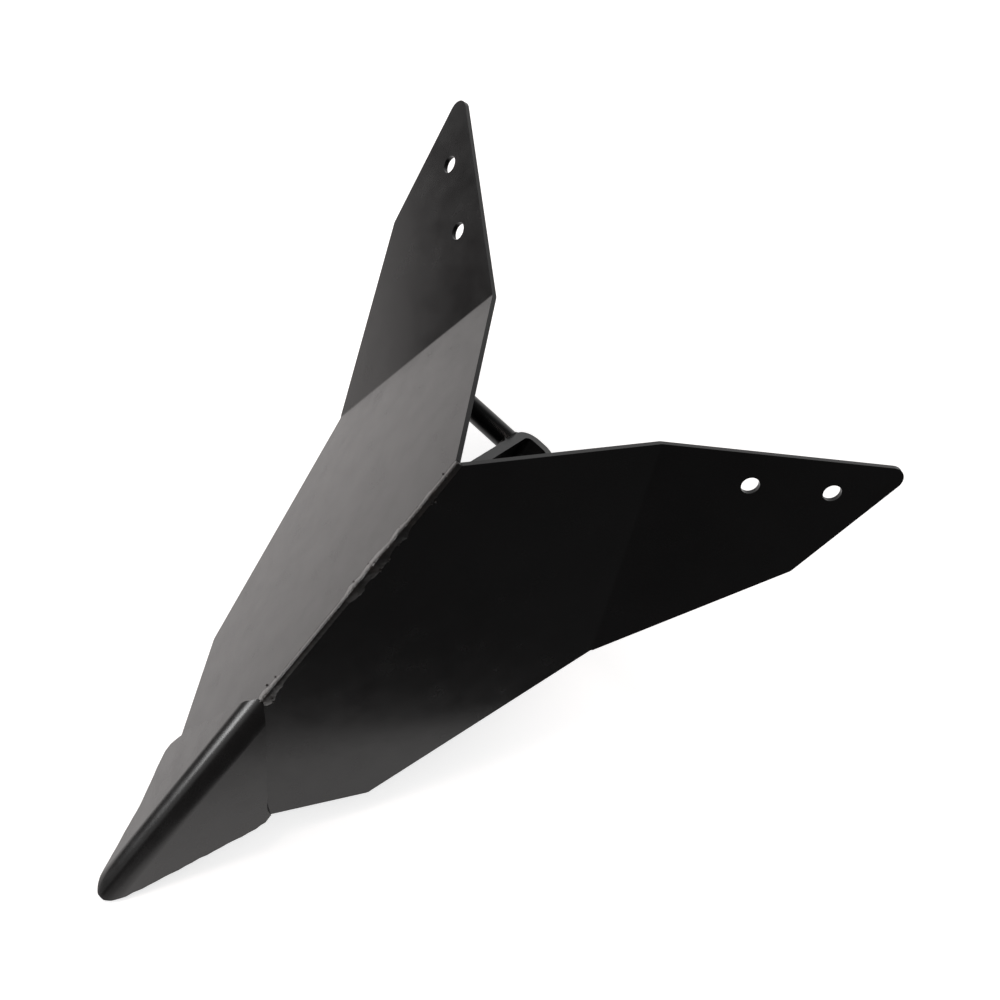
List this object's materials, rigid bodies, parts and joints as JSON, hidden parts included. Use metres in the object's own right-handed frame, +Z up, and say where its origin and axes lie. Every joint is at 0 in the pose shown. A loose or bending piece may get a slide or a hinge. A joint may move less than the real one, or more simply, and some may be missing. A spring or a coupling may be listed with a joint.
{
  "type": "tiller furrower",
  "caption": "V-shaped furrower body with flared wings, a pointed wear shoe on its nose and a slotted bracket inside for a flat shank.",
  "frame": {"origin": "middle of the mouth of the slot in the shank bracket, on the centre plane", "axes": "+X right, +Y to the rear, +Z up; the nose ridge rises at 45 degrees from the point in front, so the upper edges of the front facets are nearly level"},
  "size_m": [0.3604, 0.4424, 0.2418],
  "materials": {
    "wing_paint": "satin black paint on sheet steel",
    "shoe_paint": "satin black paint on folded plate with rough cut edges",
    "weld_paint": "thin black paint over rough weld",
    "bracket_paint": "satin black paint on flat bar",
    "rod_paint": "satin black paint on round bar"
  },
  "bodies": {
    "root": {"wing_plate_right": "wing_paint", "wing_plate_left": "wing_paint", "ridge_weld": "weld_paint", "point_shoe": "shoe_paint", "shank_bracket": "bracket_paint", "brace_rod_right": "rod_paint", "brace_rod_left": "rod_paint", "rod_bracket_weld_right": "weld_paint", "rod_bracket_weld_left": "weld_paint", "rod_wing_weld_right": "weld_paint", "rod_wing_weld_left": "weld_paint", "bracket_weld_right": "weld_paint", "bracket_weld_left": "weld_paint", "shoe_weld_right": "weld_paint", "shoe_weld_left": "weld_paint"}
  },
  "joints": []
}
